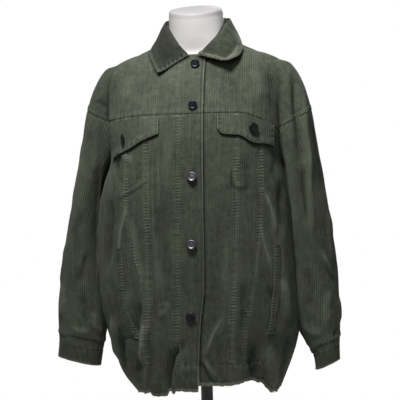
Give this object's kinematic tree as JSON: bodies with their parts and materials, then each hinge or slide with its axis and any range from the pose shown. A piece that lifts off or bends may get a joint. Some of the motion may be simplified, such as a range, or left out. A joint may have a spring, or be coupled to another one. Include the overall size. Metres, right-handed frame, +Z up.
{
  "type": "oversized corduroy overshirt on a limbless dress form with a stand",
  "caption": "Oversized long-sleeved corduroy overshirt with a collar, yokes, flap pockets and a raw hem, buttoned up on a headless, armless dress form that stands on a pole and a round base.",
  "frame": {"origin": "centre of the underside of the stand's round base", "axes": "+Z up; the garment's front faces -Y; the wearer's left is +X"},
  "size_m": [0.5939, 0.3006, 0.9602],
  "materials": {
    "corduroy": "dark green wide-wale cotton corduroy with vertical wales",
    "button_metal": "dark gunmetal, satin",
    "form_shell": "smooth off-white shell, satin",
    "stand_metal": "black powder coat, satin"
  },
  "bodies": {
    "root": {"front_yoke_right": "corduroy", "front_yoke_left": "corduroy", "back_yoke": "corduroy", "front_centre_right": "corduroy", "front_wedge_right": "corduroy", "front_side_right": "corduroy", "back_side_right": "corduroy", "front_centre_left": "corduroy", "front_wedge_left": "corduroy", "front_side_left": "corduroy", "back_side_left": "corduroy", "back_centre": "corduroy", "front_band_right": "corduroy", "front_band_left": "corduroy", "back_band": "corduroy", "sleeve_right": "corduroy", "cuff_right": "corduroy", "sleeve_left": "corduroy", "cuff_left": "corduroy", "pocket_flap_right": "corduroy", "hand_pocket_welt_right": "corduroy", "pocket_flap_left": "corduroy", "hand_pocket_welt_left": "corduroy", "collar_stand": "corduroy", "collar_leaf": "corduroy", "button_1": "button_metal", "button_2": "button_metal", "button_3": "button_metal", "button_4": "button_metal", "button_5": "button_metal", "flap_button_right": "button_metal", "flap_button_left": "button_metal", "form_torso": "form_shell", "stand_pole": "stand_metal", "stand_base": "stand_metal"}
  },
  "joints": []
}
